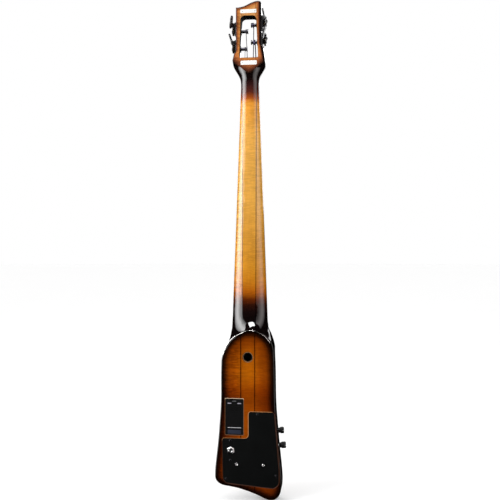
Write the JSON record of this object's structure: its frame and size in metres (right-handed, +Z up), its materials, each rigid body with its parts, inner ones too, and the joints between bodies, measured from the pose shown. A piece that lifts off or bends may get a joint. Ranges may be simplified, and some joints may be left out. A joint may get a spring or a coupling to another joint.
{
  "type": "electric upright bass",
  "caption": "Solid-body electric upright bass: laminated neck-through timber, slotted head with worm tuners, bridge, battery box, control cover and side knobs.",
  "frame": {"origin": "centre of the stand socket's mouth, in the plane of the flat back", "axes": "+Z up the neck towards the head, +Y out of the flat back, +X to the right seen from the strings' side"},
  "size_m": [0.1778, 0.0901, 1.261],
  "materials": {
    "core_maple": "clear gloss lacquer over flamed maple, shaded to black at the heel and head",
    "dark_stripe": "dark wood lamination under gloss lacquer",
    "burst_maple": "flamed maple, amber to black shading, gloss lacquer",
    "front_maple": "flamed maple, gloss lacquer",
    "ebony": "oiled dark hardwood",
    "dot_white": "polished",
    "string_wound": "flat-wound steel",
    "tuner_black": "gloss black plate",
    "worm_steel": "blackened steel",
    "gear_brass": "darkened brass",
    "post_steel": "black nickel",
    "bushing_black": "satin black",
    "nut_black": "polished",
    "bridge_maple": "sealed maple",
    "stud_steel": "plain steel",
    "wheel_brass": "satin",
    "pickup_shell": "satin",
    "tail_ebony": "oiled dark hardwood",
    "blank_white": "gloss, nothing printed",
    "socket_black": "satin black",
    "box_plastic": "moulded, fine grain",
    "lid_plastic": "moulded, fine grain",
    "battery_case": "printed sleeve left blank",
    "cover_plastic": "fine matt grain",
    "screw_steel": "bright",
    "jack_chrome": "polished",
    "pot_can": "plated",
    "knob_black": "satin black",
    "board_green": "solder resist",
    "lead_black": "insulated"
  },
  "bodies": {
    "instrument": {"neck_core": "core_maple", "neck_stripes": "dark_stripe", "neck_sides": "burst_maple", "body_wings": "burst_maple", "top_plate": "front_maple", "fingerboard": "ebony", "side_dots": "dot_white", "string_e": "string_wound", "string_a": "string_wound", "string_d": "string_wound", "string_g": "string_wound", "tuner_plate_e": "tuner_black", "tuner_plate_a": "tuner_black", "tuner_plate_d": "tuner_black", "tuner_plate_g": "tuner_black", "tuner_screws": "tuner_black", "post_bushings": "bushing_black", "nut": "nut_black", "bridge_foot": "bridge_maple", "bridge_studs": "stud_steel", "tailpiece_screws": "stud_steel", "truss_rod": "stud_steel", "pickups": "pickup_shell", "tailpiece": "tail_ebony", "blank_plates": "blank_white", "stand_socket": "socket_black", "battery_box": "box_plastic", "battery": "battery_case", "control_cover": "cover_plastic", "cover_screws": "screw_steel", "output_jack": "jack_chrome", "phones_jack": "jack_chrome", "aux_jack": "jack_chrome", "pots": "pot_can", "preamp_board": "board_green", "wiring": "lead_black"},
    "key_e": {"worm_shaft_e": "worm_steel", "tuning_key_e": "tuner_black"},
    "post_e": {"string_post_e": "post_steel", "tuner_gear_e": "gear_brass"},
    "key_a": {"worm_shaft_a": "worm_steel", "tuning_key_a": "tuner_black"},
    "post_a": {"string_post_a": "post_steel", "tuner_gear_a": "gear_brass"},
    "key_d": {"worm_shaft_d": "worm_steel", "tuning_key_d": "tuner_black"},
    "post_d": {"string_post_d": "post_steel", "tuner_gear_d": "gear_brass"},
    "key_g": {"worm_shaft_g": "worm_steel", "tuning_key_g": "tuner_black"},
    "post_g": {"string_post_g": "post_steel", "tuner_gear_g": "gear_brass"},
    "volume": {"volume_knob": "knob_black"},
    "tone": {"tone_knob": "knob_black"},
    "lid": {"battery_lid": "lid_plastic"},
    "latch": {"battery_latch": "box_plastic"},
    "saddle": {"bridge_top": "bridge_maple"},
    "wheel_bass": {"bridge_wheel_bass": "wheel_brass"},
    "wheel_treble": {"bridge_wheel_treble": "wheel_brass"}
  },
  "joints": [
    {"name": "key_e_turn", "type": "hinge", "parent": "instrument", "child": "key_e", "pos_m": [-0.041, 0.003, 0.8159], "axis": [0, 1, 0], "continuous": true},
    {"name": "post_e_turn", "type": "hinge", "parent": "instrument", "child": "post_e", "pos_m": [-0.041, -0.033, 0.8029], "axis": [1, 0, 0], "continuous": true},
    {"name": "key_a_turn", "type": "hinge", "parent": "instrument", "child": "key_a", "pos_m": [-0.041, 0.003, 0.8597], "axis": [0, 1, 0], "continuous": true},
    {"name": "post_a_turn", "type": "hinge", "parent": "instrument", "child": "post_a", "pos_m": [-0.041, -0.033, 0.8467], "axis": [1, 0, 0], "continuous": true},
    {"name": "key_d_turn", "type": "hinge", "parent": "instrument", "child": "key_d", "pos_m": [0.041, 0.003, 0.8442], "axis": [0, 1, 0], "continuous": true},
    {"name": "post_d_turn", "type": "hinge", "parent": "instrument", "child": "post_d", "pos_m": [0.041, -0.033, 0.8312], "axis": [1, 0, 0], "continuous": true},
    {"name": "key_g_turn", "type": "hinge", "parent": "instrument", "child": "key_g", "pos_m": [0.041, 0.003, 0.7992], "axis": [0, 1, 0], "continuous": true},
    {"name": "post_g_turn", "type": "hinge", "parent": "instrument", "child": "post_g", "pos_m": [0.041, -0.033, 0.7862], "axis": [1, 0, 0], "continuous": true},
    {"name": "volume_turn", "type": "hinge", "parent": "instrument", "child": "volume", "pos_m": [-0.0748, -0.02, -0.1868], "axis": [-0.9962, 0, 0.0872], "range_deg": [-140, 140]},
    {"name": "tone_turn", "type": "hinge", "parent": "instrument", "child": "tone", "pos_m": [-0.07807, -0.02, -0.2242], "axis": [-0.9962, 0, 0.0872], "range_deg": [-140, 140]},
    {"name": "battery_lid_hinge", "type": "hinge", "parent": "instrument", "child": "lid", "pos_m": [0.0342, -0.0032, -0.18], "axis": [-1, 0, 0], "range_deg": [0, 95]},
    {"name": "battery_latch_slide", "type": "slide", "parent": "instrument", "child": "latch", "axis": [0, 0, 1], "range_m": [0, 0.0025], "stiffness_N_per_m": 200},
    {"name": "bridge_height", "type": "slide", "parent": "instrument", "child": "saddle", "axis": [0, -1, 0], "range_m": [-0.002, 0]},
    {"name": "wheel_bass_turn", "type": "hinge", "parent": "saddle", "child": "wheel_bass", "pos_m": [-0.027, -0.0587, -0.164], "axis": [0, -1, 0], "range_deg": [-900, 0]},
    {"name": "wheel_treble_turn", "type": "hinge", "parent": "saddle", "child": "wheel_treble", "pos_m": [0.027, -0.0587, -0.164], "axis": [0, -1, 0], "range_deg": [-900, 0]}
  ],
  "couplings": [
    {"joint": "post_e_turn", "follows": "key_e_turn", "ratio": 0.0625},
    {"joint": "post_a_turn", "follows": "key_a_turn", "ratio": 0.0625},
    {"joint": "post_d_turn", "follows": "key_d_turn", "ratio": 0.0625},
    {"joint": "post_g_turn", "follows": "key_g_turn", "ratio": 0.0625},
    {"joint": "wheel_bass_turn", "follows": "bridge_height", "rad_per_m": 7854},
    {"joint": "wheel_treble_turn", "follows": "bridge_height", "rad_per_m": 7854}
  ]
}
